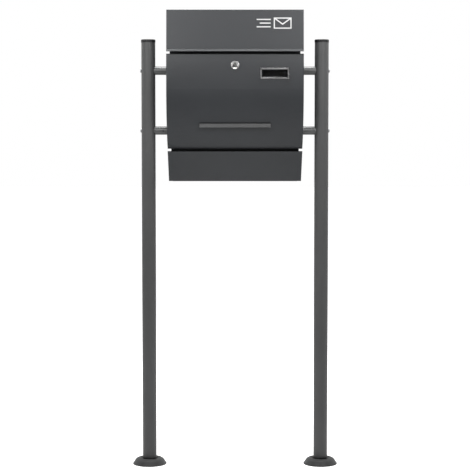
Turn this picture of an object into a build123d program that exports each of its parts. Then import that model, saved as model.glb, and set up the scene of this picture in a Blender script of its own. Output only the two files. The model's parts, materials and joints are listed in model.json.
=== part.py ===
from build123d import *
import os
from math import asin, atan, cos, degrees, hypot, radians, sin, sqrt

# A steel letterbox between two round posts on domed feet. Millimetres, +Z up, the front faces -Y.
# "Reach" is a distance in front of the plane through both posts, so a point's y is minus its reach.
# "Depth" is a distance behind the door's curved outer face, square to it.

# ---------------------------------------------------------------- driving dimensions
TOTAL_HEIGHT = 1200.0
SHEET = 1.0                     # every folded sheet
HALF_DEPTH = 77.3               # lid lip in front, lid's rear flange behind

POST_X = 228.0
POST_R = 18.5
POST_WALL = 1.5
POST_TOP = 1119.5
CAP_TOP = 1127.0
CAP_R = 18.95
CAP_EDGE_R = 1.8
CAP_SPIGOT = 16.0
CAP_SPIGOT_WALL = 2.0
CAP_SPIGOT_FIT = 0.2

PLATE_R = 40.0
PLATE_T = 4.0
PLATE_EDGE_R = 0.8
ANCHOR_PCD = 60.0
ANCHOR_COUNT = 4
ANCHOR_R = 3.5

COVER_RIM_R = 45.0
COVER_RIDGE_R = 27.0
COVER_RIDGE_Z = 16.5
COVER_NECK_R = 19.0
COVER_NECK_Z = 12.7
COVER_SHOULDER = (43.8, 2.6)    # radius and height where the rim's rounding starts
COVER_RIM_MID = (44.75, 1.6)
COVER_RIM_Z = 0.8
COVER_T = 1.4

SPACER_Z = (888.5, 1045.5)
SPACER_R = 11.0
SPACER_WALL = 1.5
BOLT_R = 3.0
BOLT_HOLE_R = 3.2
BOLT_HEAD_R = 5.2
BOLT_HEAD_H = 2.8
BOLT_END = 159.0                # x of the threaded end, inside the housing
WASHER_R = 9.0
WASHER_T = 1.5
NUT_FLATS = 10.0
NUT_T = 5.0

BODY_HALF = 170.0               # outer faces of the side walls
REAR_REACH = -76.0              # outer face of the rear wall
REAR_BOTTOM = 756.0
WALL_TOP = 1193.0
FLOOR_Z = 845.0
WALL_FLANGE = 12.0
FLOOR_APRON = 13.0              # floor's front flange, turned down
FLOOR_UPSTAND = 10.0
FRONT_SETBACK = 13.0            # side walls' front edge behind the door's outer face
SHOULDER_Z = (1066.0, 1080.0)   # where the side walls step back beside the slot
SLOT_EDGE_REACH = 45.5
WALL_HOLE_R = 3.5
WALL_HOLES_X = 280.0
WALL_HOLES_Z = 200.0
WALL_HOLES_MID_Z = 1000.0
THROUGH = 1.0                   # how far a cutting tool runs past a sheet

DOOR_HALF = 178.0
DOOR_BOTTOM = 839.5
DOOR_TOP = 1087.0
BULGE_Z = 995.0                 # height where the door bulges out furthest
BULGE_REACH = 71.6
LOWER_R = 200.0                 # door's outer radius below BULGE_Z
UPPER_R = 830.0                 # and above it
SIDE_RETURN = 16.0
BOTTOM_RETURN = 5.0
DOOR_CORE_PAST = 9.0            # the hollow's cutting solid runs this far past the returns
DOOR_BEND_R = 2.5

HINGE_IN = 6.0                  # door hinge axis behind the door's outer face
HINGE_UP = 5.2                  # and up from its bottom edge
HINGE_X = 130.0
HINGE_PIN_R = 1.5
HINGE_PIN_HEAD = 1.0
LUG_R = 3.5
LUG_T = 3.0
EAR_T = 4.0
EAR_GAP = 0.3
LEAF_T = 1.2
LEAF_HALF = 15.0
LEAF_SPAN = (3.2, 17.0)         # along the door from its bottom edge
RELIEF_DEPTH = 1.6              # bottom return cut away in front of each ear
BRACKET_FOOT = (24.0, 23.0, 1.5)
RUNNING_FIT = 0.05

LID_HALF = 177.5
LID_TOP_REACH = 62.0
LID_SLOPE = 0.0859              # lid front's reach gained per millimetre down
LIP_TOP = 1098.5
LIP_BOTTOM = 1091.8
LID_REAR_DROP = 8.0
LID_BEND_R = 0.96
LID_CHEEK = ((1102.0, 60.0), (1177.0, -60.0))   # (z, reach) of the cheeks' lower edge
LID_AXIS_REACH = -70.0
LID_AXIS_Z = 1186.0
ROD_R = 2.5
ROD_HALF = 179.5
SLEEVE_R = 4.5
ROD_CAP_R = 5.0
ROD_CAP_T = 0.8
ROD_CAP_EDGE_R = 1.2
SIDE_PLAY = 0.3                 # beside the lid's cheeks
BUMPER_R = 4.0
BUMPER_PLAY = 0.3
LID_BUMPER_REACH = (37.5, -40.0)
LID_BUMPER_X = 163.5
DOOR_BUMPER_X = 120.0
DOOR_BUMPER_Z = 1083.0

TRAY_HALF = 177.75
TRAY_TOP = 833.0
TRAY_TOP_REACH = 1.5
TRAY_ANGLE = 42.5               # from vertical
TRAY_BEND_R = 2.0
TRAY_RETURN = 10.0
TRAY_CHEEK_DROP = 1.5
TRAY_HEM = 8.0
TRAY_REAR_HALF = 168.0
TRAY_REAR_TOP = 788.0
TRAY_NOTCH = 3.2
TRAY_RIVET_X = (-135.0, -45.0, 45.0, 135.0)
TRAY_RIVET_Z = 776.0
TRAY_RIVET_HEAD_R = 3.6
RIVET_R = 2.0
RIVET_FIT = 0.05
RIVET_TAIL = 0.6
RIVET_HEAD_T = 1.2

RAIL_Z = (1070.0, 1098.0)
RAIL_REACH = 44.5
RAIL_SILL = 24.0
RAIL_TAB = 12.0

LOCK_Z = 1057.0
BEZEL_R = 11.0
BEZEL_T = 2.6
BEZEL_EDGE_R = 1.1
DISH = (7.1, 9.4, 1.6)          # dished ring: inner radius, outer radius, depth
BARREL_R = 9.5
BARREL_DEPTH = 25.0
PLUG_R = 6.5
PLUG_OUT = 1.6
PLUG_EDGE_R = 0.5
KEYWAY = (1.3, 7.5, 16.0)
TANG = 6.0
CAM_T = 1.6
CAM_W = 14.0
CAM_REACH = 24.0                # from the plug's axis to the cam's tip
CAM_TIP_R = 4.0
CAM_PLAY = 0.1
LOCK_NUT_T = 3.5
LOCK_NUT_WALL = 2.5
SCREW_R = 2.0
SCREW_LENGTH = 7.0
SCREW_HEAD = (4.6, 2.4)
SCREW_CROSS = (5.0, 1.0)

NAME_X = 102.9
NAME_Z = 1036.0
NAME_SIZE = (75.0, 30.0)
NAME_OPENING = (66.0, 19.5)
NAME_T = 2.6
NAME_RECESS = (69.2, 23.0)
NAME_LAND = 1.2                 # thickness left around the opening
NAME_SPLAY = 5.0
NAME_PIN_X = 36.0
NAME_PIN_R = 1.2
NAME_PIN_DEPTH = 4.4
CARD_T = 0.4
CARD_LIFT = 0.02                # clear of the door's slight curve
WINDOW_T = 0.8
CLIP_R = 3.4
CLIP_T = 0.9
CURVE_GAP = 0.2                 # flat pieces stand clear of the door's curve inside

STRIP_HALF = 92.5
STRIP_TOP = 908.5
STRIP_BOTTOM = 896.3
STRIP_FACE_TILT = 12.0
STRIP_T = 1.2
STRIP_STAND = 3.4
STRIP_BACK = (4.2, 5.0)         # back leg above and below the rivets
STRIP_FOLD = 1.5
STRIP_RIVET_X = (-70.0, 0.0, 70.0)
STRIP_RIVET_Z = 904.0
STRIP_RIVET_HEAD = (2.4, 0.8)
STRIP_RIVET_TAIL = (3.2, 1.1)

MARK_X = 101.0
MARK_Z = 1165.0
MARK_LINE = 3.0
MARK_T = 0.3
ENVELOPE = (46.0, 29.0)
ENVELOPE_LEFT = -1.0
FLAP_LOW = -3.2
POSTMARK_RIGHT = -9.0
POSTMARK_ROWS = ((9.5, 36.0), (0.0, 28.0), (-9.5, 36.0))    # (height, length)


# ---------------------------------------------------------------- helpers
def at(reach, z, x=0.0):
    return Vector(x, -reach, z)


def closed(points):
    return [Line(a, b) for a, b in zip(points, points[1:] + points[:1])]


def outline(points):
    """Straight edges through (reach, z) points, closed."""
    return closed([at(*point) for point in points])


def prism(edges, x_low, x_high):
    """Extrude a closed outline in the YZ plane from x_low to x_high."""
    face = make_face(edges).faces()[0]
    return Solid.extrude(face.moved(Location((x_low, 0, 0))), Vector(x_high - x_low, 0, 0))


def block(x, reach, z):
    """Box from (low, high) pairs."""
    size = (x[1] - x[0], reach[1] - reach[0], z[1] - z[0])
    middle = ((x[0] + x[1]) / 2, -(reach[0] + reach[1]) / 2, (z[0] + z[1]) / 2)
    return Pos(*middle) * Box(*size)


def rod_x(radius, x_low, x_high, reach, z):
    """Round bar along X."""
    bar = Cylinder(radius, x_high - x_low, rotation=(0, 90, 0))
    return Pos((x_low + x_high) / 2, -reach, z) * bar


def rod_y(radius, reach_low, reach_high, x, z):
    """Round bar along Y."""
    bar = Cylinder(radius, reach_high - reach_low, rotation=(90, 0, 0))
    return Pos(x, -(reach_low + reach_high) / 2, z) * bar


def spindle(radius, z_low, z_high):
    """Round bar along Z, on the origin's axis."""
    return Pos(0, 0, (z_low + z_high) / 2) * Cylinder(radius, z_high - z_low)


def one(shape):
    """The single solid that a piece must be."""
    solids = shape.solids()
    assert len(solids) == 1, f"{len(solids)} solids"
    return solids[0]


def mirrored(shape):
    return mirror(shape, Plane.YZ)


def both_sides(shape):
    return [shape, mirrored(shape)]


def on_side(shape, side):
    return shape if side > 0 else mirrored(shape)


def edge_near(shape, point):
    """The edge along X that passes closest to a point of the YZ plane."""
    edges = shape.edges().filter_by(Axis.X)
    return min(edges, key=lambda edge: hypot(edge.center().Y - point.Y, edge.center().Z - point.Z))


# ---------------------------------------------------------------- the door's curved face
LOWER_CENTRE = BULGE_REACH - LOWER_R
UPPER_CENTRE = BULGE_REACH - UPPER_R
BOTTOM_ANGLE = asin((BULGE_Z - DOOR_BOTTOM) / LOWER_R)
TOP_ANGLE = asin((DOOR_TOP - BULGE_Z) / UPPER_R)


def skin_reach(depth, z):
    """Reach of the surface that lies depth behind the door's outer face."""
    centre, radius = (LOWER_CENTRE, LOWER_R) if z < BULGE_Z else (UPPER_CENTRE, UPPER_R)
    return centre + sqrt((radius - depth) ** 2 - (z - BULGE_Z) ** 2)


def skin_point(depth, z):
    return at(skin_reach(depth, z), z)


def skin_edges(depth, z_low, z_high):
    """Arcs along that surface from z_low up to z_high."""
    spans = []
    if z_low < BULGE_Z:
        spans.append((z_low, min(z_high, BULGE_Z - 1e-9)))
    if z_high > BULGE_Z:
        spans.append((max(z_low, BULGE_Z), z_high))
    return [
        ThreePointArc(skin_point(depth, low), skin_point(depth, (low + high) / 2), skin_point(depth, high))
        for low, high in spans
    ]


def door_span(depth, trim):
    """Lowest and highest z of the door at a depth, with its ends cut square to the sheet."""
    low = BULGE_Z - (LOWER_R - depth) * sin(BOTTOM_ANGLE - trim / LOWER_R)
    high = BULGE_Z + (UPPER_R - depth) * sin(TOP_ANGLE - trim / UPPER_R)
    return low, high


def door_band(near, far, trim, span=None):
    """Outline between two depths of the door, over the whole door or over given (z_low, z_high) spans."""
    near_span = span or door_span(near, trim)
    far_span = span or door_span(far, trim)
    ends = [
        Line(skin_point(near, near_span[i]), skin_point(far, far_span[i]))
        for i in (0, 1)
    ]
    return skin_edges(near, *near_span) + skin_edges(far, *far_span) + ends


def skin_frame(x, z):
    """Plane touching the door's outer face at (x, z): local x to the right, y up the door, z outwards."""
    angle = asin((z - BULGE_Z) / (LOWER_R if z < BULGE_Z else UPPER_R))
    normal = Vector(0, -cos(angle), sin(angle))
    return Plane(origin=at(skin_reach(0, z), z, x), x_dir=(1, 0, 0), z_dir=normal)


def skin_place(x, z):
    return skin_frame(x, z).location


def from_bottom(depth, along):
    """Point at a depth, measured along the door from its bottom edge."""
    angle = BOTTOM_ANGLE - along / LOWER_R
    radius = LOWER_R - depth
    return at(LOWER_CENTRE + radius * cos(angle), BULGE_Z - radius * sin(angle))


def bottom_band(depth, along):
    """Curved outline near the door's bottom edge, from (low, high) pairs."""
    steps = (along[0], sum(along) / 2, along[1])
    near, far = [[from_bottom(level, step) for step in steps] for level in depth]
    return [ThreePointArc(*near), ThreePointArc(*far), Line(near[0], far[0]), Line(near[2], far[2])]


# ---------------------------------------------------------------- posts and feet
def post(x):
    tube = Cylinder(POST_R, POST_TOP - PLATE_T) - Cylinder(POST_R - POST_WALL, POST_TOP - PLATE_T)
    tube = Pos(x, 0, (POST_TOP + PLATE_T) / 2) * tube
    for z in SPACER_Z:
        tube -= rod_x(BOLT_HOLE_R, x - 2 * POST_R, x + 2 * POST_R, 0, z)
    return one(tube)


def post_cap(x):
    head_h = CAP_TOP - POST_TOP
    head = Pos(0, 0, head_h / 2) * Cylinder(CAP_R, head_h)
    head = fillet(head.edges().group_by(Axis.Z)[-1], CAP_EDGE_R)
    spigot_r = POST_R - POST_WALL - CAP_SPIGOT_FIT
    spigot = Cylinder(spigot_r, CAP_SPIGOT) - Cylinder(spigot_r - CAP_SPIGOT_WALL, CAP_SPIGOT)
    return one(Pos(x, 0, POST_TOP) * (head + Pos(0, 0, -CAP_SPIGOT / 2) * spigot))


def base_plate(x):
    plate = Pos(0, 0, PLATE_T / 2) * Cylinder(PLATE_R, PLATE_T)
    plate = fillet(plate.edges().group_by(Axis.Z)[-1], PLATE_EDGE_R)
    plate -= PolarLocations(ANCHOR_PCD / 2, ANCHOR_COUNT, 45) * Cylinder(ANCHOR_R, 4 * PLATE_T)
    return one(Pos(x, 0, 0) * plate)


def cover_outline(drop):
    """Upper face of the domed cover in its XZ half plane, lowered by drop."""
    neck = Vector(COVER_NECK_R, 0, COVER_NECK_Z - drop)
    ridge = Vector(COVER_RIDGE_R, 0, COVER_RIDGE_Z - drop)
    shoulder = Vector(COVER_SHOULDER[0], 0, COVER_SHOULDER[1] - drop)
    inner = Spline(neck, ridge, tangents=[(1, 0, 0.9), (1, 0, 0)])
    outer = Spline(ridge, shoulder, tangents=[(1, 0, 0), (1, 0, -1.4)])
    return neck, shoulder, [inner, outer]


def base_cover(x):
    neck, shoulder, top = cover_outline(0)
    low_neck, low_shoulder, under = cover_outline(COVER_T)
    rim_top = Vector(COVER_RIM_R, 0, COVER_RIM_Z)
    rim_out = Vector(COVER_RIM_R, 0, 0)
    rim_in = Vector(COVER_RIM_R - COVER_T, 0, 0)
    rim = [
        ThreePointArc(shoulder, Vector(COVER_RIM_MID[0], 0, COVER_RIM_MID[1]), rim_top),
        Line(rim_top, rim_out),
        Line(rim_out, rim_in),
        Line(rim_in, low_shoulder),
    ]
    section = make_face(top + rim + under + [Line(low_neck, neck)])
    return one(Pos(x, 0, 0) * revolve(section, Axis.Z, 360))


# ---------------------------------------------------------------- spacers and their bolts
def spacer(side, z):
    """Tube between side wall and post, its outer end coped to the post."""
    tube = rod_x(SPACER_R, BODY_HALF, POST_X, 0, z)
    tube -= rod_x(SPACER_R - SPACER_WALL, BODY_HALF, POST_X, 0, z)
    tube -= Pos(POST_X, 0, z) * Cylinder(POST_R + RUNNING_FIT, 4 * SPACER_R)
    return one(on_side(tube, side))


def spacer_bolt(z):
    head_x = POST_X + POST_R
    shank = rod_x(BOLT_R, BOLT_END, head_x, 0, z)
    head = rod_x(BOLT_HEAD_R, head_x, head_x + BOLT_HEAD_H, 0, z)
    head = fillet(head.edges().group_by(Axis.X)[-1], BOLT_HEAD_H * 0.75)
    return one(shank + head)


def bolt_washer(z):
    inner = BODY_HALF - SHEET
    ring = rod_x(WASHER_R, inner - WASHER_T, inner, 0, z)
    return one(ring - rod_x(BOLT_HOLE_R, inner - WASHER_T, inner, 0, z))


def bolt_nut(z):
    seat = BODY_HALF - SHEET - WASHER_T
    hexagon = extrude(RegularPolygon(NUT_FLATS / 2, 6, major_radius=False), NUT_T)
    nut = Pos(seat - NUT_T, 0, z) * Rot(0, 90, 0) * hexagon
    return one(nut - rod_x(BOLT_R, seat - NUT_T, seat, 0, z))


def for_each_bolt(maker):
    return [piece for z in SPACER_Z for piece in both_sides(maker(z))]


# ---------------------------------------------------------------- letterbox housing
def rear_span(past, sheets=1):
    """Reaches from behind the rear wall to in front of it and of any sheets against it."""
    return REAR_REACH - past, REAR_REACH + sheets * SHEET + past


def rear_wall():
    wall = block((-BODY_HALF, BODY_HALF), (REAR_REACH, REAR_REACH + SHEET), (REAR_BOTTOM, WALL_TOP))
    for x in (-WALL_HOLES_X / 2, WALL_HOLES_X / 2):
        for z in (WALL_HOLES_MID_Z - WALL_HOLES_Z / 2, WALL_HOLES_MID_Z + WALL_HOLES_Z / 2):
            wall -= rod_y(WALL_HOLE_R, *rear_span(THROUGH), x, z)
    for x in TRAY_RIVET_X:
        wall -= rod_y(RIVET_R, *rear_span(THROUGH), x, TRAY_RIVET_Z)
    return one(wall)


def side_wall(side):
    rear = REAR_REACH + SHEET
    front_low = skin_reach(FRONT_SETBACK, FLOOR_Z)
    front_high = skin_reach(FRONT_SETBACK, SHOULDER_Z[0])
    face = skin_edges(FRONT_SETBACK, FLOOR_Z, SHOULDER_Z[0])
    corners = [
        (front_high, SHOULDER_Z[0]),
        (SLOT_EDGE_REACH, SHOULDER_Z[1]),
        (SLOT_EDGE_REACH, WALL_TOP),
        (rear, WALL_TOP),
        (rear, FLOOR_Z),
        (front_low, FLOOR_Z),
    ]
    face += [Line(at(*a), at(*b)) for a, b in zip(corners, corners[1:])]
    inner = BODY_HALF - SHEET
    wall = prism(face, inner, BODY_HALF)
    flange = (BODY_HALF - WALL_FLANGE, inner)
    front_span = (FLOOR_Z + SHEET, SHOULDER_Z[0])
    wall += prism(door_band(FRONT_SETBACK, FRONT_SETBACK + SHEET, 0, front_span), *flange)
    wall += block(flange, (rear, rear + SHEET), (FLOOR_Z + SHEET, WALL_TOP))
    wall += block(flange, (rear, SLOT_EDGE_REACH), (WALL_TOP - SHEET, WALL_TOP))
    for z in SPACER_Z:
        wall -= rod_x(BOLT_HOLE_R, inner - THROUGH, BODY_HALF + THROUGH, 0, z)
    wall -= rod_x(ROD_R + RUNNING_FIT, inner - THROUGH, BODY_HALF + THROUGH, LID_AXIS_REACH, LID_AXIS_Z)
    return one(on_side(wall, side))


def floor_panel():
    inner = BODY_HALF - SHEET
    rear = REAR_REACH + SHEET
    front = skin_reach(FRONT_SETBACK, FLOOR_Z)
    top = FLOOR_Z + SHEET
    panel = block((-inner, inner), (rear, front), (FLOOR_Z, top))
    panel += block((-inner, inner), (front - SHEET, front), (FLOOR_Z - FLOOR_APRON, FLOOR_Z))
    rear_half = inner - WALL_FLANGE
    upstand = (top, top + FLOOR_UPSTAND)
    panel += block((-rear_half, rear_half), (rear, rear + SHEET), upstand)
    for flange in both_sides(block((inner - SHEET, inner), (rear + 3 * SHEET, front - 6 * SHEET), upstand)):
        panel += flange
    return one(panel)


def lock_rail():
    """Cross rail that the lock's cam hooks behind; its top is the sill of the mail slot."""
    inner = BODY_HALF - SHEET
    back = RAIL_REACH - SHEET
    rail = block((-inner, inner), (back, RAIL_REACH), RAIL_Z)
    rail += block((-inner, inner), (back - RAIL_SILL, RAIL_REACH), (RAIL_Z[1] - SHEET, RAIL_Z[1]))
    for tab in both_sides(block((inner - SHEET, inner), (back - RAIL_TAB, RAIL_REACH), RAIL_Z)):
        rail += tab
    return one(rail)


def door_bumpers():
    """Pads on the rail that the closed door's top return comes up to."""
    back_of_return = skin_reach(SIDE_RETURN, DOOR_TOP)
    pad = rod_y(BUMPER_R, RAIL_REACH, back_of_return - BUMPER_PLAY, DOOR_BUMPER_X, DOOR_BUMPER_Z)
    return both_sides(one(pad))


def lid_bumpers():
    """Pads on the side walls' top flanges, under the closed lid."""
    height = TOTAL_HEIGHT - SHEET - BUMPER_PLAY - WALL_TOP
    pad = Cylinder(BUMPER_R, height)
    pads = []
    for reach in LID_BUMPER_REACH:
        pads += both_sides(one(Pos(LID_BUMPER_X, -reach, WALL_TOP + height / 2) * pad))
    return pads


# ---------------------------------------------------------------- lid
LID_ANGLE = atan(LID_SLOPE)


def lid_front(z):
    """Reach of the lid's outer front face."""
    return LID_TOP_REACH + (TOTAL_HEIGHT - z) * LID_SLOPE


def lid():
    inside = SHEET / cos(LID_ANGLE)
    rear = -HALF_DEPTH
    under = TOTAL_HEIGHT - SHEET
    lip_in = 0.8 * SHEET
    section = [
        (rear, TOTAL_HEIGHT - LID_REAR_DROP),
        (rear, TOTAL_HEIGHT),
        (LID_TOP_REACH, TOTAL_HEIGHT),
        (lid_front(LIP_TOP), LIP_TOP),
        (HALF_DEPTH, LIP_BOTTOM + lip_in),
        (HALF_DEPTH - lip_in, LIP_BOTTOM),
        (lid_front(LIP_TOP) - inside, LIP_TOP - SHEET / 2),
        (lid_front(under) - inside, under),
        (rear + SHEET, under),
        (rear + SHEET, TOTAL_HEIGHT - LID_REAR_DROP),
    ]
    shell = prism(outline(section), -LID_HALF, LID_HALF)
    (front_z, front_reach), (rear_z, rear_reach) = LID_CHEEK
    cheek = [
        (rear + SHEET / 2, under + SHEET / 2),
        (lid_front(under) - SHEET / 2, under + SHEET / 2),
        (lid_front(front_z) - SHEET / 2, front_z),
        (front_reach, front_z),
        (rear_reach, rear_z),
        (rear + SHEET / 2, rear_z),
    ]
    for piece in both_sides(prism(outline(cheek), LID_HALF - SHEET, LID_HALF)):
        shell += piece
    folds = [edge_near(shell, at(reach, TOTAL_HEIGHT)) for reach in (rear, LID_TOP_REACH)]
    shell = fillet(folds, LID_BEND_R)
    shell -= rod_x(ROD_R + RUNNING_FIT, -ROD_HALF, ROD_HALF, LID_AXIS_REACH, LID_AXIS_Z)
    return one(shell)


def lid_hinge_rod():
    return one(rod_x(ROD_R, -ROD_HALF, ROD_HALF, LID_AXIS_REACH, LID_AXIS_Z))


def lid_hinge_sleeves():
    low, high = BODY_HALF, LID_HALF - SHEET - SIDE_PLAY
    tube = rod_x(SLEEVE_R, low, high, LID_AXIS_REACH, LID_AXIS_Z)
    tube -= rod_x(ROD_R + RUNNING_FIT, low, high, LID_AXIS_REACH, LID_AXIS_Z)
    return both_sides(one(tube))


def lid_hinge_caps():
    """Push-on caps over the rod's ends."""
    low, high = LID_HALF + SIDE_PLAY, ROD_HALF + ROD_CAP_T
    cap = rod_x(ROD_CAP_R, low, high, LID_AXIS_REACH, LID_AXIS_Z)
    cap = fillet(cap.edges().group_by(Axis.X)[-1], ROD_CAP_EDGE_R)
    cap -= rod_x(ROD_R, low - THROUGH, ROD_HALF, LID_AXIS_REACH, LID_AXIS_Z)
    return both_sides(one(cap))


def bar_between(start, end):
    """Flat bar of the mark's line width between two local points, with square ends."""
    length = hypot(end[0] - start[0], end[1] - start[1])
    middle = ((start[0] + end[0]) / 2, (start[1] + end[1]) / 2)
    turn = degrees(atan((end[1] - start[1]) / (end[0] - start[0])))
    return Pos(*middle) * Rot(0, 0, turn) * Rectangle(length, MARK_LINE)


def envelope_mark():
    """Printed sign for mail: an envelope beside three postmark lines."""
    width, height = ENVELOPE
    half_line = MARK_LINE / 2
    middle = ENVELOPE_LEFT + width / 2
    right = ENVELOPE_LEFT + width
    area = Pos(middle, 0) * Rectangle(width, height)
    border = area - Pos(middle, 0) * Rectangle(width - 2 * MARK_LINE, height - 2 * MARK_LINE)
    top = height / 2 - half_line
    flap = bar_between((ENVELOPE_LEFT + half_line, top), (middle + half_line / 2, FLAP_LOW))
    flap += bar_between((middle - half_line / 2, FLAP_LOW), (right - half_line, top))
    pieces = [border + (flap & area)]
    for row, length in POSTMARK_ROWS:
        pieces.append(Pos(POSTMARK_RIGHT - length / 2, row) * Rectangle(length, MARK_LINE))
    normal = Vector(0, -cos(LID_ANGLE), sin(LID_ANGLE))
    place = Plane(origin=at(lid_front(MARK_Z), MARK_Z, MARK_X), x_dir=(1, 0, 0), z_dir=normal)
    return [one(place.location * extrude(piece, MARK_T)) for piece in pieces]


# ---------------------------------------------------------------- newspaper tray
def until(point, direction, reach):
    """The point moved along a direction until it has a given reach."""
    return point + direction * ((-reach - point.Y) / direction.Y)


def newspaper_tray():
    """Sloping front sheet folded up against the rear wall, with folded cheeks; open at both ends."""
    lean = radians(TRAY_ANGLE)
    down = Vector(0, sin(lean), -cos(lean))
    inward = Vector(0, cos(lean), sin(lean))
    top = at(TRAY_TOP_REACH, TRAY_TOP)
    top_in = top + inward * SHEET
    back = REAR_REACH + SHEET
    corner = until(top, down, back)
    corner_in = until(top_in, down, back + SHEET)
    section = [top, corner, at(back, TRAY_REAR_TOP), at(back + SHEET, TRAY_REAR_TOP), corner_in, top_in]
    sheet = prism(closed(section), -TRAY_HALF, TRAY_HALF)
    sheet = fillet(edge_near(sheet, corner_in), TRAY_BEND_R - SHEET)
    sheet = fillet(edge_near(sheet, corner), TRAY_BEND_R)

    notch = block((TRAY_REAR_HALF, TRAY_HALF + THROUGH), (back - THROUGH, back + TRAY_NOTCH),
                  (corner.Z - THROUGH, TRAY_REAR_TOP + THROUGH))
    for piece in both_sides(notch):
        sheet -= piece
    foot = until(top, down, back + TRAY_NOTCH)
    level = TRAY_RETURN * sin(lean) / cos(lean) + TRAY_CHEEK_DROP
    cheek = [top, foot, foot + inward * TRAY_RETURN, top + inward * TRAY_RETURN + down * level]
    for piece in both_sides(prism(closed(cheek), TRAY_HALF - SHEET, TRAY_HALF)):
        sheet += piece
    hem_foot = top_in + down * TRAY_HEM
    hem = [top_in, hem_foot, hem_foot + inward * SHEET, top_in + inward * SHEET]
    sheet += prism(closed(hem), -TRAY_HALF, TRAY_HALF)
    for x in TRAY_RIVET_X:
        sheet -= rod_y(RIVET_R, *rear_span(THROUGH, 2), x, TRAY_RIVET_Z)
    return one(sheet)


def tray_rivets():
    behind, front = rear_span(0, 2)
    pieces = []
    for x in TRAY_RIVET_X:
        shank = rod_y(RIVET_R - RIVET_FIT, *rear_span(RIVET_TAIL, 2), x, TRAY_RIVET_Z)
        outer = rod_y(TRAY_RIVET_HEAD_R, behind - RIVET_HEAD_T, behind, x, TRAY_RIVET_Z)
        outer = fillet(outer.edges().group_by(Axis.Y)[-1], RIVET_HEAD_T - RIVET_TAIL / 2)
        inner = rod_y(TRAY_RIVET_HEAD_R - RIVET_TAIL, front, front + RIVET_HEAD_T, x, TRAY_RIVET_Z)
        pieces.append(one(shank + outer + inner))
    return pieces


# ---------------------------------------------------------------- door
HINGE = from_bottom(HINGE_IN, HINGE_UP)
HINGE_REACH = -HINGE.Y
HINGE_Z = HINGE.Z


def is_outer_fold(edge, half, depth):
    """True for the edges around a door pan's front face, at a depth behind the outer face."""
    middle = edge @ 0.5
    on_face = abs(-middle.Y - skin_reach(depth, middle.Z)) < 0.02
    on_side = abs(abs(middle.X) - half) < 0.01
    along_x = abs((edge @ 0).X - (edge @ 1).X) > half
    return on_face and (on_side or along_x)


def door_pan(depth, back, trim, half, fold_r):
    """Solid with the door's outline and its front edges rounded."""
    pan = prism(door_band(depth, back, trim), -half, half)
    folds = [edge for edge in pan.edges() if is_outer_fold(edge, half, depth)]
    return fillet(folds, fold_r)


def door():
    inner = DOOR_HALF - SHEET
    shell = door_pan(0, SIDE_RETURN, 0, DOOR_HALF, DOOR_BEND_R)
    shell -= door_pan(SHEET, SIDE_RETURN + DOOR_CORE_PAST, SHEET, inner, DOOR_BEND_R - SHEET)
    behind = SIDE_RETURN + THROUGH
    edge_zone = (-THROUGH, 3 * SHEET)
    shell -= prism(bottom_band((BOTTOM_RETURN, behind), edge_zone), -inner, inner)
    relief = prism(bottom_band((RELIEF_DEPTH, behind), edge_zone), HINGE_X - EAR_T, HINGE_X + EAR_T)
    for piece in both_sides(relief):
        shell -= piece
    shell -= skin_place(0, LOCK_Z) * Cylinder(BARREL_R + 0.2, 12 * SHEET)
    for x in (-NAME_PIN_X, NAME_PIN_X):
        shell -= name_place() * Pos(x, 0, 0) * Cylinder(NAME_PIN_R, 12 * SHEET)
    for x in STRIP_RIVET_X:
        shell -= skin_place(x, STRIP_RIVET_Z) * Cylinder(RIVET_R, 8 * SHEET)
    return one(shell)


def grip_strip():
    """Folded strip: the back leg lies on the door, the front leg stands off as a finger pull."""
    place = skin_frame(0, STRIP_RIVET_Z)
    up, out = place.y_dir, place.z_dir
    root = place.origin + up * STRIP_BACK[0]
    tip = place.origin - up * STRIP_BACK[1]
    tilt = radians(STRIP_FACE_TILT)
    fall = Vector(0, -sin(tilt), -cos(tilt))
    inward = Vector(0, cos(tilt), -sin(tilt))
    crown = root + out * STRIP_STAND
    hem = crown + fall * ((crown.Z - STRIP_BOTTOM) / cos(tilt))
    section = [
        tip,
        root,
        crown,
        hem,
        hem + inward * STRIP_T,
        crown + fall * STRIP_FOLD + inward * STRIP_T,
        root + out * STRIP_T - up * STRIP_FOLD,
        tip + out * STRIP_T,
    ]
    strip = prism(closed(section), -STRIP_HALF, STRIP_HALF)
    for x in STRIP_RIVET_X:
        strip -= skin_place(x, STRIP_RIVET_Z) * Cylinder(RIVET_R, 4 * STRIP_T)
    return one(strip)


def strip_rivets():
    head_r, head_t = STRIP_RIVET_HEAD
    tail_r, tail_t = STRIP_RIVET_TAIL
    tail = -SHEET - CURVE_GAP
    rivet = spindle(RIVET_R - RIVET_FIT, tail - tail_t, STRIP_T + head_t)
    rivet += spindle(head_r, STRIP_T + RIVET_FIT, STRIP_T + head_t) + spindle(tail_r, tail - tail_t, tail)
    return [one(skin_place(x, STRIP_RIVET_Z) * rivet) for x in STRIP_RIVET_X]


# ---------------------------------------------------------------- name plate
def slab(size, low, high):
    return Pos(0, 0, (low + high) / 2) * Box(size[0], size[1], high - low)


def name_place():
    return skin_place(NAME_X, NAME_Z)


def name_plate_frame():
    frame = slab(NAME_SIZE, 0, NAME_T)
    frame = fillet(frame.edges().filter_by(Axis.Z), 1.5)
    frame = fillet(frame.edges().group_by(Axis.Z)[-1], 0.7)
    width, height = NAME_OPENING
    wide = Plane.XY.offset(NAME_T) * Rectangle(width + NAME_SPLAY, height + NAME_SPLAY)
    narrow = Plane.XY.offset(NAME_LAND) * Rectangle(width, height)
    frame -= loft([narrow.face(), wide.face()])
    frame -= slab(NAME_OPENING, -THROUGH, NAME_LAND + THROUGH)
    frame -= slab(NAME_RECESS, -THROUGH, CARD_T + WINDOW_T)
    for x in (-NAME_PIN_X, NAME_PIN_X):
        frame += Pos(x, 0, 0) * spindle(NAME_PIN_R, -NAME_PIN_DEPTH, CARD_T)
    return one(name_place() * frame)


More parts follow.
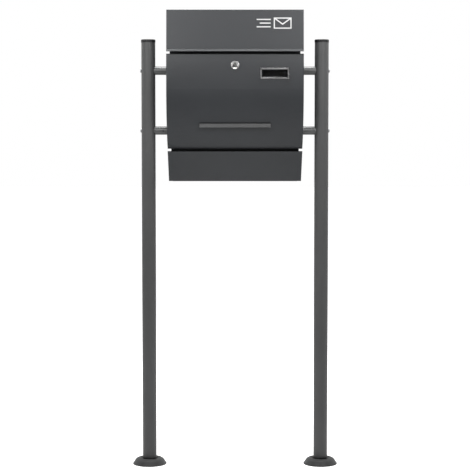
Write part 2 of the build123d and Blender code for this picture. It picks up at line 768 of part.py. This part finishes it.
def name_card():
    return one(name_place() * slab(NAME_RECESS, CARD_LIFT, CARD_T))


def name_window():
    return one(name_place() * slab(NAME_RECESS, CARD_T, CARD_T + WINDOW_T))


def name_plate_clips():
    """Push-on washers that hold the frame's two stems inside the door."""
    high = -SHEET - CURVE_GAP
    clip = spindle(CLIP_R, high - CLIP_T, high) - spindle(NAME_PIN_R, high - CLIP_T, high)
    return [one(name_place() * Pos(x, 0, 0) * clip) for x in (-NAME_PIN_X, NAME_PIN_X)]


# ---------------------------------------------------------------- cam lock
def lock_place():
    return skin_place(0, LOCK_Z)


def lock_housing():
    bezel = fillet(spindle(BEZEL_R, 0, BEZEL_T).edges().group_by(Axis.Z)[-1], BEZEL_EDGE_R)
    inner_r, outer_r, depth = DISH
    dish = Pos(0, 0, BEZEL_T - depth / 2) * Cone(inner_r, outer_r, depth)
    housing = bezel + spindle(BARREL_R, -BARREL_DEPTH, 0) - dish
    housing -= spindle(PLUG_R + RUNNING_FIT, -BARREL_DEPTH, BEZEL_T)
    return one(lock_place() * housing)


def lock_nut():
    nut = extrude(RegularPolygon(BARREL_R + LOCK_NUT_WALL, 6, major_radius=False), LOCK_NUT_T)
    nut -= spindle(BARREL_R, 0, LOCK_NUT_T)
    return one(lock_place() * Pos(0, 0, -SHEET - CURVE_GAP - LOCK_NUT_T) * nut)


def lock_plug():
    core = spindle(PLUG_R, -BARREL_DEPTH, PLUG_OUT)
    core = fillet(core.edges().group_by(Axis.Z)[-1], PLUG_EDGE_R)
    core -= Pos(0, 0, PLUG_OUT) * Box(*KEYWAY)
    tang_end = -BARREL_DEPTH - CAM_T - 2 * CAM_PLAY
    core += slab((TANG, TANG), tang_end, -BARREL_DEPTH)
    core -= spindle(SCREW_R, tang_end, tang_end + SCREW_LENGTH)
    return one(lock_place() * core)


def lock_cam():
    """Flat lever; at rest it lies sideways, a quarter turn puts it behind the rail."""
    bar = Pos(CAM_REACH / 2, 0, 0) * Box(CAM_REACH, CAM_W, CAM_T)
    bar = fillet(bar.edges().filter_by(Axis.Z).group_by(Axis.X)[-1], CAM_TIP_R)
    bar += Cylinder(CAM_W / 2, CAM_T)
    bar -= Box(TANG, TANG, 2 * CAM_T)
    return one(lock_place() * Pos(0, 0, -BARREL_DEPTH - CAM_PLAY - CAM_T / 2) * bar)


def cam_screw():
    seat = -BARREL_DEPTH - CAM_T - 2 * CAM_PLAY
    head_r, head_t = SCREW_HEAD
    head = spindle(head_r, seat - head_t, seat)
    head = fillet(head.edges().group_by(Axis.Z)[0], head_t / 2)
    long, wide = SCREW_CROSS
    head -= Pos(0, 0, seat - head_t) * (Box(long, wide, head_t) + Box(wide, long, head_t))
    return one(lock_place() * (head + spindle(SCREW_R, seat, seat + SCREW_LENGTH)))


# ---------------------------------------------------------------- door hinges
def door_hinge_leaf(side):
    """Leaf welded inside the door, with two lugs around the pin."""
    x_low, x_high = HINGE_X - LEAF_HALF, HINGE_X + LEAF_HALF
    leaf = prism(bottom_band((SHEET, SHEET + LEAF_T), LEAF_SPAN), x_low, x_high)
    lug_in = EAR_T / 2 + EAR_GAP
    for lug_low in (HINGE_X - lug_in - LUG_T, HINGE_X + lug_in):
        lug_high = lug_low + LUG_T
        neck = [
            from_bottom(HINGE_IN, HINGE_UP - 1.2),
            from_bottom(SHEET + LEAF_T / 2, HINGE_UP),
            from_bottom(SHEET + LEAF_T / 2, LEAF_SPAN[1] - LUG_T),
            from_bottom(HINGE_IN + 2.5, HINGE_UP + 2.2),
        ]
        leaf += rod_x(LUG_R, lug_low, lug_high, HINGE_REACH, HINGE_Z)
        leaf += prism(closed(neck), lug_low, lug_high)
    leaf -= rod_x(HINGE_PIN_R, x_low, x_high, HINGE_REACH, HINGE_Z)
    door_sheet = bottom_band((-LUG_R, SHEET), (-LUG_R, LEAF_SPAN[1] + LUG_R))
    leaf -= prism(door_sheet, x_low, x_high)
    return one(on_side(leaf, side))


def hinge_bracket(side):
    """Foot welded to the housing floor, with one ear reaching up and over to the door's pin."""
    width, length, thick = BRACKET_FOOT
    top = FLOOR_Z + SHEET
    front = skin_reach(FRONT_SETBACK, FLOOR_Z) - 3 * SHEET
    foot = block((HINGE_X - width / 2, HINGE_X + width / 2), (front - length, front), (top, top + thick))
    ear = [
        (front - 19, top),
        (front - 19, top + 9),
        (HINGE_REACH - 9.6, HINGE_Z + 14.4),
        (HINGE_REACH + 1.9, HINGE_Z + 2.9),
        (HINGE_REACH - 2.2, HINGE_Z - 2.7),
        (HINGE_REACH - 6.8, HINGE_Z + 2.2),
        (front - 3, top + 0.2),
        (front - 3, top),
    ]
    x_low, x_high = HINGE_X - EAR_T / 2, HINGE_X + EAR_T / 2
    bracket = foot + prism(outline(ear), x_low, x_high)
    bracket += rod_x(LUG_R, x_low, x_high, HINGE_REACH, HINGE_Z)
    bracket -= rod_x(HINGE_PIN_R + RUNNING_FIT, x_low, x_high, HINGE_REACH, HINGE_Z)
    return one(on_side(bracket, side))


def hinge_pins():
    end = EAR_T / 2 + EAR_GAP + LUG_T
    head = HINGE_X + end
    pin = rod_x(HINGE_PIN_R, HINGE_X - end, head + HINGE_PIN_HEAD, HINGE_REACH, HINGE_Z)
    pin += rod_x(HINGE_PIN_R + HINGE_PIN_HEAD, head, head + HINGE_PIN_HEAD, HINGE_REACH, HINGE_Z)
    return both_sides(one(pin))


# ---------------------------------------------------------------- all the pieces
def pieces():
    parts = {
        "rear_wall": rear_wall(),
        "side_wall_left": side_wall(-1),
        "side_wall_right": side_wall(1),
        "floor_panel": floor_panel(),
        "lock_rail": lock_rail(),
        "door_bumpers": door_bumpers(),
        "lid_bumpers": lid_bumpers(),
        "lid": lid(),
        "lid_hinge_rod": lid_hinge_rod(),
        "lid_hinge_sleeves": lid_hinge_sleeves(),
        "lid_hinge_caps": lid_hinge_caps(),
        "envelope_mark": envelope_mark(),
        "newspaper_tray": newspaper_tray(),
        "tray_rivets": tray_rivets(),
        "door": door(),
        "grip_strip": grip_strip(),
        "strip_rivets": strip_rivets(),
        "name_plate_frame": name_plate_frame(),
        "name_card": name_card(),
        "name_window": name_window(),
        "name_plate_clips": name_plate_clips(),
        "lock_housing": lock_housing(),
        "lock_nut": lock_nut(),
        "lock_plug": lock_plug(),
        "lock_cam": lock_cam(),
        "cam_screw": cam_screw(),
        "hinge_pins": hinge_pins(),
        "spacer_bolts": for_each_bolt(spacer_bolt),
        "bolt_washers": for_each_bolt(bolt_washer),
        "bolt_nuts": for_each_bolt(bolt_nut),
    }
    for name, side in (("left", -1), ("right", 1)):
        x = side * POST_X
        parts[f"post_{name}"] = post(x)
        parts[f"post_cap_{name}"] = post_cap(x)
        parts[f"base_plate_{name}"] = base_plate(x)
        parts[f"base_cover_{name}"] = base_cover(x)
        parts[f"hinge_bracket_{name}"] = hinge_bracket(side)
        parts[f"door_hinge_leaf_{name}"] = door_hinge_leaf(side)
        for level, z in zip(("lower", "upper"), SPACER_Z):
            parts[f"spacer_{level}_{name}"] = spacer(side, z)
    return parts


os.makedirs("parts", exist_ok=True)
for node, shape in pieces().items():
    export_step(Compound(shape) if isinstance(shape, list) else shape, f"parts/{node}.step")
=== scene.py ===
import json
import math

import bmesh
import bpy
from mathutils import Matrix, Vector


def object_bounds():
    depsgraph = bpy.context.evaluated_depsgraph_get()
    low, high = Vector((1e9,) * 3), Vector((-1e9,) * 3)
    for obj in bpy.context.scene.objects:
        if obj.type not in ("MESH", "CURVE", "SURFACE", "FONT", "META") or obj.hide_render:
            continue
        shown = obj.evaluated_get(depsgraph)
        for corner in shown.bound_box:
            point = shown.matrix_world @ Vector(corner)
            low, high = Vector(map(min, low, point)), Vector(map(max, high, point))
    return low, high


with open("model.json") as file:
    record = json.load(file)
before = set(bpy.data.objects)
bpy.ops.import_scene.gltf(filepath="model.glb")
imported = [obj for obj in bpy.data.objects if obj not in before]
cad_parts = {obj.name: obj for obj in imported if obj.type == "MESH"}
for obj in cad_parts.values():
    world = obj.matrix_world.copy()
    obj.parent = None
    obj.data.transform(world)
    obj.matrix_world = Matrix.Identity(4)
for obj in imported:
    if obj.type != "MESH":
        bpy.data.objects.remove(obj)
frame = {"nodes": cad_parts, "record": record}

# A steel letterbox on two posts, in a plain studio. Metres, +Z up, the front faces -Y.
CAD_BOX = [list(corner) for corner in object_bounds()]
scene = bpy.context.scene


# ---------------------------------------------------------------- node helpers
# cosine between the rounded and the flat normal where an edge starts, and counts in full
EDGE_TURN = (0.995, 0.85)


class Graph:
    """Builds a node tree: add() makes a node from its settings, and sockets are wired by name."""

    def __init__(self, tree):
        self.tree = tree
        tree.nodes.clear()

    def add(self, kind, inputs=None, **settings):
        node = self.tree.nodes.new(kind)
        for key, value in settings.items():
            setattr(node, key, value)
        for key, value in (inputs or {}).items():
            if isinstance(value, bpy.types.NodeSocket):
                self.tree.links.new(value, node.inputs[key])
            else:
                node.inputs[key].default_value = value
        return node

    def math(self, operation, a, b=0.0, clamp=False):
        node = self.add("ShaderNodeMath", {0: a, 1: b}, operation=operation, use_clamp=clamp)
        return node.outputs[0]

    def noise(self, where, scale, detail=2.0, roughness=0.5, distortion=0.0):
        inputs = {
            "Vector": where, "Scale": scale, "Detail": detail,
            "Roughness": roughness, "Distortion": distortion,
        }
        return self.add("ShaderNodeTexNoise", inputs).outputs["Fac"]

    def stretch(self, where, factors):
        return self.add("ShaderNodeMapping", {"Vector": where, "Scale": factors}).outputs[0]

    def remap(self, value, low, high, to_low=0.0, to_high=1.0):
        inputs = {
            "Value": value, "From Min": low, "From Max": high, "To Min": to_low, "To Max": to_high,
        }
        return self.add("ShaderNodeMapRange", inputs, clamp=True).outputs["Result"]

    def mix(self, factor, a, b):
        node = self.add("ShaderNodeMix", {0: factor}, data_type="RGBA")
        for index, value in ((6, a), (7, b)):
            if isinstance(value, bpy.types.NodeSocket):
                self.tree.links.new(value, node.inputs[index])
            else:
                node.inputs[index].default_value = (*value, 1.0)
        return node.outputs[2]

    def bump(self, height, strength, distance, normal=None):
        inputs = {"Height": height, "Strength": strength, "Distance": distance}
        if normal is not None:
            inputs["Normal"] = normal
        return self.add("ShaderNodeBump", inputs).outputs[0]

    def edges(self, radius):
        """A mask, 0 on flat surface and 1 on sharp edges, and the rounded normal."""
        rounded = self.add("ShaderNodeBevel", {"Radius": radius}, samples=4).outputs[0]
        flat = self.add("ShaderNodeNewGeometry").outputs["Normal"]
        turn = self.add("ShaderNodeVectorMath", {0: rounded, 1: flat}, operation="DOT_PRODUCT")
        return self.remap(turn.outputs["Value"], *EDGE_TURN), rounded


def material(name):
    """A new material, the graph of its nodes and the object's own coordinates."""
    made = bpy.data.materials.new(name)
    made.use_nodes = True
    graph = Graph(made.node_tree)
    where = graph.add("ShaderNodeTexCoord").outputs["Object"]
    return made, graph, where


def finish_material(graph, shader):
    graph.add("ShaderNodeOutputMaterial", {"Surface": shader.outputs[0]})


def shade(colour, factor):
    return tuple(min(1.0, channel * factor) for channel in colour)


# ---------------------------------------------------------------- materials
# height of the own normal at which a face starts to count as upward, and counts in full
UPWARD = (0.45, 0.95)
UPWARD_MATT = 0.32
CLEAR_COAT = 0.12
# painted shade in nooks and crevices: its reach, the openness where it starts and ends, and how
# strong it gets
PAINTED_SHADE_REACH = 0.022
PAINTED_SHADE_OPEN = (0.45, 0.92)
PAINTED_SHADE_DEPTH = 0.95


def powder_coat(name, colour, roughness=0.42, edge=0.35):
    """Satin powder coat: orange peel, speckle, thin paint on edges and faint rub marks.

    Upward faces are dusty and matt, and nooks, crevices and places under other parts get painted
    shade.
    """
    made, g, where = material(name)
    mottle = g.noise(where, 5.0, 4.0, 0.55)
    base = g.mix(g.remap(mottle, 0.35, 0.65), shade(colour, 0.93), shade(colour, 1.07))
    speckle = g.noise(where, 2600.0, 1.0)
    base = g.mix(g.remap(speckle, 0.56, 0.74, 0.0, 0.5), base, shade(colour, 1.7))
    edge_mask, rounded = g.edges(0.0012)
    chips = g.remap(g.noise(where, 160.0, 3.0), 0.42, 0.7, 0.35, 1.0)
    worn = g.math("MULTIPLY", g.math("MULTIPLY", edge_mask, chips), edge)
    base = g.mix(worn, base, shade(colour, 2.6))
    rub = g.noise(g.stretch(where, (9.0, 9.0, 160.0)), 1.6, 5.0, 0.7, 0.6)
    rub_mask = g.remap(rub, 0.66, 0.78, 0.0, 0.30)
    base = g.mix(rub_mask, base, shade(colour, 1.55))
    own_normal = g.add("ShaderNodeTexCoord").outputs["Normal"]
    up = g.add("ShaderNodeSeparateXYZ", {0: own_normal}).outputs["Z"]
    upward = g.remap(up, *UPWARD)
    settled = g.math("MULTIPLY", upward, g.remap(g.noise(where, 30.0, 4.0), 0.35, 0.75))
    base = g.mix(g.math("MULTIPLY", settled, 0.04), base, (0.22, 0.21, 0.20))
    # painted shade: the colour darkens where nearby parts hide the surface, standing in for contact
    # shadow
    painted_shade = g.add("ShaderNodeAmbientOcclusion", {"Distance": PAINTED_SHADE_REACH}, samples=8).outputs["AO"]
    base = g.mix(g.remap(painted_shade, *PAINTED_SHADE_OPEN, PAINTED_SHADE_DEPTH, 0.0), base, shade(colour, 0.12))
    rough = g.math("ADD", g.remap(mottle, 0.3, 0.7, roughness - 0.04, roughness + 0.05),
                   g.remap(speckle, 0.4, 0.7, -0.03, 0.04))
    rough = g.math("ADD", rough, g.math("MULTIPLY", upward, UPWARD_MATT), clamp=True)
    fine = g.bump(g.noise(where, 2400.0, 2.0), 0.175, 0.00003, rounded)
    skin = g.bump(g.noise(where, 620.0, 2.0, 0.45), 0.35, 0.00006, fine)
    wave = g.bump(g.noise(where, 11.0, 1.0), 0.12, 0.0008, skin)
    shader = g.add("ShaderNodeBsdfPrincipled", {
        "Base Color": base, "Roughness": rough, "Normal": wave, "IOR": 1.5,
        "Coat Weight": g.remap(up, *UPWARD, CLEAR_COAT, 0.0), "Coat Roughness": 0.22,
    })
    finish_material(g, shader)
    return made


def moulded_plastic(name, colour):
    """Moulded plastic: a fine grain and paler edges."""
    made, g, where = material(name)
    cells = g.add("ShaderNodeTexVoronoi", {"Vector": where, "Scale": 900.0}).outputs["Distance"]
    mottle = g.noise(where, 40.0, 3.0)
    base = g.mix(g.remap(mottle, 0.35, 0.65), shade(colour, 0.85), shade(colour, 1.2))
    edge_mask, rounded = g.edges(0.0006)
    base = g.mix(g.math("MULTIPLY", edge_mask, 0.4), base, shade(colour, 2.4))
    rough = g.remap(g.noise(where, 220.0, 3.0), 0.3, 0.7, 0.47, 0.63)
    shader = g.add("ShaderNodeBsdfPrincipled", {
        "Base Color": base, "Roughness": rough, "IOR": 1.48,
        "Normal": g.bump(cells, 0.5, 0.00008, rounded),
    })
    finish_material(g, shader)
    return made


def plated_metal(name, colour, roughness, scratch=0.3, spangle=0.0, metallic=1.0, rim=1.0):
    """Bare or plated metal: crossed scratches, smudges and, with spangle, soft crystal patches.

    A rim below 1 dims the reflection at grazing angles.
    """
    made, g, where = material(name)
    cloud = g.noise(where, 55.0, 4.0, 0.6)
    patches = g.add("ShaderNodeTexVoronoi", {"Vector": where, "Scale": 420.0}).outputs["Color"]
    tone = g.add("ShaderNodeSeparateColor", {0: patches}).outputs[0]
    base = g.mix(g.remap(cloud, 0.3, 0.7), shade(colour, 0.88), shade(colour, 1.08))
    base = g.mix(g.math("MULTIPLY", tone, spangle), base, shade(colour, 0.62))
    lines = g.noise(g.stretch(where, (90.0, 1400.0, 900.0)), 2.0, 3.0, 0.6)
    cross = g.noise(g.stretch(where, (1300.0, 500.0, 70.0)), 2.0, 3.0, 0.6)
    marks = g.math("MAXIMUM", g.remap(lines, 0.55, 0.75), g.remap(cross, 0.58, 0.78))
    rough = g.math("ADD", g.remap(cloud, 0.3, 0.7, roughness * 0.7, roughness * 1.4),
                   g.math("MULTIPLY", marks, scratch * 0.3), clamp=True)
    edge_mask, rounded = g.edges(0.0004)
    base = g.mix(g.math("MULTIPLY", edge_mask, 0.3), base, shade(colour, 1.25))
    shader = g.add("ShaderNodeBsdfPrincipled", {
        "Base Color": base, "Metallic": metallic, "Roughness": rough,
        "Specular Tint": (rim, rim, rim, 1.0),
        "Normal": g.bump(marks, scratch, 0.00001, rounded),
    })
    finish_material(g, shader)
    return made


def screen_print(name, colour):
    """White ink: a little uneven in cover, with tiny pinholes."""
    made, g, where = material(name)
    cover = g.noise(where, 260.0, 4.0, 0.6)
    holes = g.remap(g.noise(where, 1900.0, 2.0), 0.70, 0.76)
    base = g.mix(g.remap(cover, 0.3, 0.7), shade(colour, 0.90), colour)
    base = g.mix(g.math("MULTIPLY", holes, 0.7), base, shade(colour, 0.35))
    shader = g.add("ShaderNodeBsdfPrincipled", {
        "Base Color": base, "Roughness": g.remap(cover, 0.3, 0.7, 0.42, 0.58),
        "Normal": g.bump(cover, 0.3, 0.00004),
    })
    finish_material(g, shader)
    return made


def card_stock(name, colour):
    """Card: fibres that run across."""
    made, g, where = material(name)
    fibre = g.noise(g.stretch(where, (700.0, 700.0, 160.0)), 1.5, 5.0, 0.7)
    base = g.mix(g.remap(fibre, 0.3, 0.7), shade(colour, 0.75), shade(colour, 1.35))
    shader = g.add("ShaderNodeBsdfPrincipled", {
        "Base Color": base, "Roughness": g.remap(fibre, 0.3, 0.7, 0.75, 0.92),
        "Normal": g.bump(fibre, 0.5, 0.00005),
    })
    finish_material(g, shader)
    return made


def clear_window(name):
    """Clear plastic sheet: faint smears and hair scratches."""
    made, g, where = material(name)
    smear = g.noise(g.stretch(where, (30.0, 30.0, 90.0)), 2.0, 4.0, 0.6)
    hair = g.remap(g.noise(g.stretch(where, (60.0, 60.0, 2400.0)), 1.0, 3.0), 0.68, 0.74)
    rough = g.math("ADD", g.remap(smear, 0.4, 0.7, 0.02, 0.09), g.math("MULTIPLY", hair, 0.15))
    shader = g.add("ShaderNodeBsdfPrincipled", {
        "Base Color": g.mix(g.remap(smear, 0.3, 0.7), (0.90, 0.92, 0.93), (0.97, 0.98, 0.98)),
        "Roughness": rough,
        "IOR": 1.49, "Transmission Weight": 1.0, "Normal": g.bump(hair, 0.25, 0.00002),
    })
    finish_material(g, shader)
    return made


def rubber(name, colour):
    """Matt rubber: pores and a pale bloom."""
    made, g, where = material(name)
    pores = g.noise(where, 1500.0, 3.0)
    bloom = g.noise(where, 90.0, 3.0)
    shader = g.add("ShaderNodeBsdfPrincipled", {
        "Base Color": g.mix(g.remap(bloom, 0.35, 0.7), colour, shade(colour, 1.8)),
        "Roughness": g.remap(pores, 0.3, 0.7, 0.72, 0.9), "Normal": g.bump(pores, 0.6, 0.00008),
    })
    finish_material(g, shader)
    return made


BOX_GREY = (0.0272, 0.0300, 0.0342)
POST_GREY = (0.0950, 0.0960, 0.0965)
MATERIALS = {
    "box_paint": powder_coat("box_paint", BOX_GREY),
    "post_paint": powder_coat("post_paint", POST_GREY, roughness=0.36, edge=0.2),
    "cover_paint": powder_coat("cover_paint", (0.040, 0.0415, 0.042), roughness=0.45, edge=0.25),
    "strip_paint": powder_coat("strip_paint", (0.062, 0.063, 0.065), roughness=0.38),
    "black_plastic": moulded_plastic("black_plastic", (0.012, 0.012, 0.013)),
    "rubber": rubber("rubber", (0.012, 0.012, 0.012)),
    "chrome": plated_metal("chrome", (0.66, 0.655, 0.65), 0.15),
    "name_frame": plated_metal("name_frame", (0.42, 0.42, 0.425), 0.22, scratch=0.03),
    "card": card_stock("card", (0.006, 0.006, 0.007)),
    "window": clear_window("window"),
    "print": screen_print("print", (0.82, 0.82, 0.82)),
    "zinc": plated_metal("zinc", (0.56, 0.56, 0.57), 0.30, spangle=0.5),
}

# the photo shows the four spacers as bare satin metal between the painted posts
SPACER_METAL = plated_metal(
    "spacer_metal", (0.15, 0.152, 0.152), 0.34, scratch=0.04, metallic=0.6, rim=0.5,
)
SPACERS = ("spacer_lower_left", "spacer_lower_right", "spacer_upper_left", "spacer_upper_right")
SHARP_ANGLE = math.radians(32)

SLOT_OF = {entry["node"]: entry["material_slot"] for entry in frame["record"]["subparts"]}
for node, piece in frame["nodes"].items():
    piece.data.materials.clear()
    finish = SPACER_METAL if node in SPACERS else MATERIALS[SLOT_OF[node]]
    piece.data.materials.append(finish)
    piece.data.shade_smooth()
    piece.data.set_sharp_from_angle(angle=SHARP_ANGLE)


# ---------------------------------------------------------------- studio
# brightness of the room: in front, below and above the horizon, then behind and at the sides
LOW_LEVEL = 0.1
HIGH_LEVEL = 0.06
HORIZON = math.sin(math.radians(6))
BACK_LEVEL = 1.28
SIDE_LEVEL = 0.32
# the floor's half width, its drop below the feet, what it throws back and its lift for the camera
FLOOR_HALF = 20.0
FLOOR_DROP = 0.0002
FLOOR_BOUNCE = 0.58
FLOOR_GLOW = 0.7
# watts of each lamp
OVERHEAD = 62.0
REAR = 14.0
SIDE = 7.0
BANK = 3.3
BANK_SPREAD = 95.0


def studio_floor():
    """Pale floor, lifted to white for the camera, that throws back only part of the light."""
    made, g, where = material("studio_floor")
    fine = g.noise(where, 60.0, 5.0)
    broad = g.noise(where, 0.8, 2.0)
    base = g.mix(g.remap(broad, 0.3, 0.7), (0.80, 0.80, 0.80), (0.84, 0.84, 0.84))
    base = g.mix(g.remap(fine, 0.4, 0.7, 0.0, 0.12), base, (0.74, 0.74, 0.74))
    pale = g.add("ShaderNodeBsdfPrincipled", {
        "Base Color": base, "Roughness": g.remap(fine, 0.3, 0.7, 0.75, 0.9),
        "Specular IOR Level": 0.1, "Normal": g.bump(fine, 0.08, 0.0005),
        "Emission Color": (1.0, 1.0, 1.0, 1.0), "Emission Strength": FLOOR_GLOW,
    })
    dim = g.add("ShaderNodeBsdfDiffuse", {"Color": (FLOOR_BOUNCE, FLOOR_BOUNCE, FLOOR_BOUNCE, 1.0)})
    seen = g.add("ShaderNodeLightPath").outputs["Is Camera Ray"]
    split = g.add("ShaderNodeMixShader", {0: seen, 1: dim.outputs[0], 2: pale.outputs[0]})
    finish_material(g, split)
    mesh = bpy.data.meshes.new("studio_floor")
    shape = bmesh.new()
    bmesh.ops.create_grid(shape, x_segments=8, y_segments=8, size=FLOOR_HALF)
    shape.to_mesh(mesh)
    shape.free()
    floor = bpy.data.objects.new("studio_floor", mesh)
    mesh.materials.append(made)
    scene.collection.objects.link(floor)
    floor.location.z = CAD_BOX[0][2] - FLOOR_DROP


def studio_world():
    """White to the camera; as light, bright behind, softer at the sides and a dim room in front."""
    world = bpy.data.worlds.new("studio")
    world.use_nodes = True
    scene.world = world
    g = Graph(world.node_tree)
    direction = g.add("ShaderNodeTexCoord").outputs["Generated"]
    parts = g.add("ShaderNodeSeparateXYZ", {0: direction}).outputs
    front = g.remap(parts["Z"], -HORIZON, HORIZON, LOW_LEVEL, HIGH_LEVEL)
    behind = g.remap(parts["Y"], 0.0, 0.45)
    light = g.mix(behind, front, (BACK_LEVEL,) * 3)
    aside = g.remap(g.math("ABSOLUTE", parts["X"]), 0.5, 0.9)
    light = g.mix(aside, light, (SIDE_LEVEL,) * 3)
    seen = g.add("ShaderNodeLightPath").outputs["Is Camera Ray"]
    colour = g.mix(seen, light, (1.0, 1.0, 1.0))
    shader = g.add("ShaderNodeBackground", {"Color": colour, "Strength": 1.0})
    g.add("ShaderNodeOutputWorld", {"Surface": shader.outputs[0]})


def softbox(name, place, target, size, power, spread=180.0):
    """A rectangular lamp facing a target, hidden from the camera; spread is in degrees."""
    lamp = bpy.data.lights.new(name, "AREA")
    lamp.shape = "RECTANGLE"
    lamp.size, lamp.size_y = size
    lamp.energy = power
    lamp.spread = math.radians(spread)
    holder = bpy.data.objects.new(name, lamp)
    holder.location = place
    holder.rotation_euler = (Vector(target) - Vector(place)).to_track_quat("-Z", "Y").to_euler()
    holder.visible_camera = False
    scene.collection.objects.link(holder)


studio_floor()
studio_world()
softbox("overhead", (0.0, 0.05, 2.6), (0.0, -0.05, 0.0), (1.8, 0.8), OVERHEAD)
softbox("rear", (0.0, 2.6, 1.9), (0.0, 0.07, 1.0), (1.6, 0.8), REAR)
for side in (-1, 1):
    post_top = (side * 0.228, 0.0, 1.12)
    softbox("bank", (side * 0.75, -1.3, 1.6), post_top, (1.2, 0.4), BANK, BANK_SPREAD)
    softbox("side", (side * 2.3, 0.5, 1.7), (0.0, 0.0, 1.0), (0.8, 0.8), SIDE)


# ---------------------------------------------------------------- camera
CAMERA_DISTANCE = 3.80
CAMERA_HEIGHT = 0.879
CAMERA_TILT = math.radians(3.64)
CAMERA_LENS = 110.1
CAMERA_SHIFT = -0.02
camera_data = bpy.data.cameras.new("camera")
camera_data.lens = CAMERA_LENS
camera_data.sensor_width = 36.0
camera_data.shift_y = CAMERA_SHIFT
camera_data.clip_end = 60.0
camera = bpy.data.objects.new("camera", camera_data)
camera.location = (0.0, -CAMERA_DISTANCE, CAMERA_HEIGHT)
camera.rotation_euler = (math.radians(90) - CAMERA_TILT, 0.0, 0.0)
scene.collection.objects.link(camera)
scene.camera = camera
scene.view_settings.view_transform = "Standard"
scene.view_settings.look = "None"
scene.view_settings.exposure = 0.0
